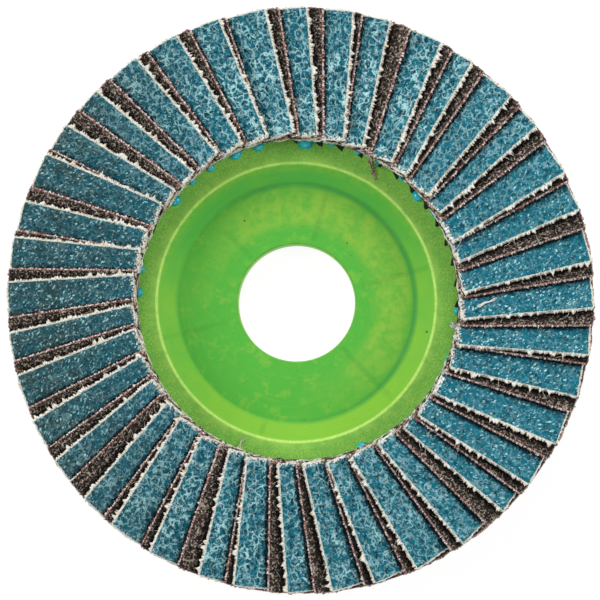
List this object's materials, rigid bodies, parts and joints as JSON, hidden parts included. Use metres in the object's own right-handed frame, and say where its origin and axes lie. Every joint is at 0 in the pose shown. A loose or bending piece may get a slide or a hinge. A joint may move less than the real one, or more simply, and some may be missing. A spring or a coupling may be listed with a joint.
{
  "type": "flap disc",
  "caption": "Abrasive flap disc for an angle grinder: a dished plastic backing plate with a ring of blue and brown flaps glued on like roof tiles.",
  "frame": {"origin": "centre of the bore at the hub's back face, the lowest plane of the disc", "axes": "+Z along the bore axis towards the working face; +Y is twelve o'clock as seen from the working face, and +X is three o'clock"},
  "size_m": [0.11, 0.11, 0.0173],
  "materials": {
    "green_plastic": "satin translucent moulded plastic",
    "cyan_adhesive": "cured epoxy, slightly glossy",
    "blue_abrasive": "blue coated abrasive grain on cloth",
    "brown_abrasive": "dark brown abrasive grain on cloth"
  },
  "bodies": {
    "root": {"backing_plate": "green_plastic", "adhesive_bed": "cyan_adhesive", "blue_flap_01": "blue_abrasive", "blue_flap_02": "blue_abrasive", "blue_flap_03": "blue_abrasive", "blue_flap_04": "blue_abrasive", "blue_flap_05": "blue_abrasive", "blue_flap_06": "blue_abrasive", "blue_flap_07": "blue_abrasive", "blue_flap_08": "blue_abrasive", "blue_flap_09": "blue_abrasive", "blue_flap_10": "blue_abrasive", "blue_flap_11": "blue_abrasive", "blue_flap_12": "blue_abrasive", "blue_flap_13": "blue_abrasive", "blue_flap_14": "blue_abrasive", "blue_flap_15": "blue_abrasive", "blue_flap_16": "blue_abrasive", "blue_flap_17": "blue_abrasive", "blue_flap_18": "blue_abrasive", "blue_flap_19": "blue_abrasive", "blue_flap_20": "blue_abrasive", "blue_flap_21": "blue_abrasive", "blue_flap_22": "blue_abrasive", "blue_flap_23": "blue_abrasive", "blue_flap_24": "blue_abrasive", "blue_flap_25": "blue_abrasive", "blue_flap_26": "blue_abrasive", "blue_flap_27": "blue_abrasive", "blue_flap_28": "blue_abrasive", "blue_flap_29": "blue_abrasive", "blue_flap_30": "blue_abrasive", "blue_flap_31": "blue_abrasive", "blue_flap_32": "blue_abrasive", "blue_flap_33": "blue_abrasive", "blue_flap_34": "blue_abrasive", "blue_flap_35": "blue_abrasive", "blue_flap_36": "blue_abrasive", "blue_flap_37": "blue_abrasive", "blue_flap_38": "blue_abrasive", "blue_flap_39": "blue_abrasive", "blue_flap_40": "blue_abrasive", "brown_flaps_01_to_04": "brown_abrasive", "brown_flaps_05_to_08": "brown_abrasive", "brown_flaps_09_to_12": "brown_abrasive", "brown_flaps_13_to_16": "brown_abrasive", "brown_flaps_17_to_20": "brown_abrasive", "brown_flaps_21_to_24": "brown_abrasive", "brown_flaps_25_to_28": "brown_abrasive", "brown_flaps_29_to_32": "brown_abrasive", "brown_flaps_33_to_36": "brown_abrasive", "brown_flaps_37_to_40": "brown_abrasive"}
  },
  "joints": []
}
